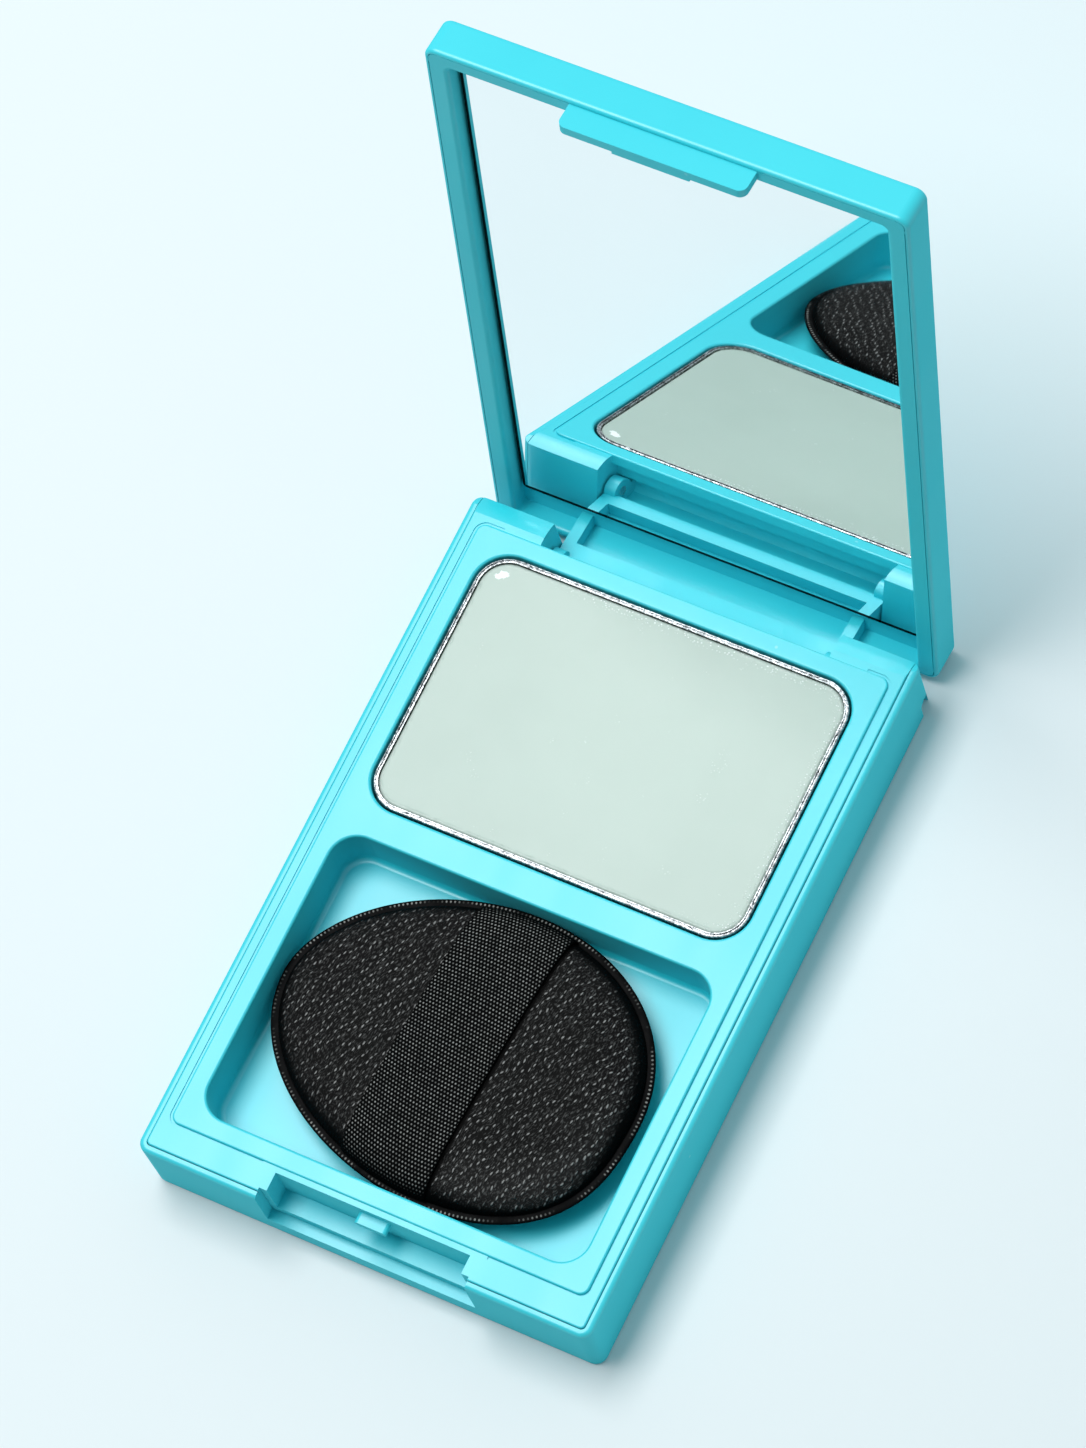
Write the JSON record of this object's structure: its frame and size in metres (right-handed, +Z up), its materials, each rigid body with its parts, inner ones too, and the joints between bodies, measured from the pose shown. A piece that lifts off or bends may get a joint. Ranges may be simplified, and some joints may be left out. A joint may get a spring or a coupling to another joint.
{
  "type": "powder compact",
  "caption": "Slim rectangular makeup compact with a mirrored lid open on a rear hinge, a pan of balm and a well with a teardrop puff.",
  "frame": {"origin": "centre of the base's footprint, on the face it rests on", "axes": "+Z up, +X to the user's right, -Y towards the latch and the user, +Y towards the hinge"},
  "size_m": [0.06, 0.115, 0.0906],
  "materials": {
    "case_plastic": "moulded gloss",
    "adhesive": "tacky film",
    "pan_aluminium": "pressed foil",
    "balm": "waxy, glossy",
    "mirror_backing_paint": "matt paint",
    "mirror_silver": "polished",
    "pin_steel": "drawn wire",
    "puff_cloth": "flocked",
    "puff_foam": "soft foam",
    "puff_leather": "pebbled",
    "ribbon_cloth": "ribbed weave"
  },
  "bodies": {
    "base": {"base_case": "case_plastic", "base_deck": "case_plastic", "pan_adhesive": "adhesive", "pan": "pan_aluminium", "balm_fill": "balm"},
    "lid": {"lid_shell": "case_plastic", "mirror_adhesive": "adhesive", "mirror_backing": "mirror_backing_paint", "mirror_glass": "mirror_silver", "hinge_pins": "pin_steel"},
    "puff": {"puff_base_cover": "puff_cloth", "puff_foam": "puff_foam", "puff_top_cover": "puff_leather", "puff_seam": "puff_leather", "puff_ribbon": "ribbon_cloth"}
  },
  "joints": [
    {"name": "lid_hinge", "type": "hinge", "parent": "base", "child": "lid", "pos_m": [0, 0.0423, 0.0055], "axis": [1, 0, 0], "range_deg": [0, 101]},
    {"name": "puff_lift", "type": "slide", "parent": "base", "child": "puff", "axis": [0, 0, 1], "range_m": [0, 0.03]}
  ]
}
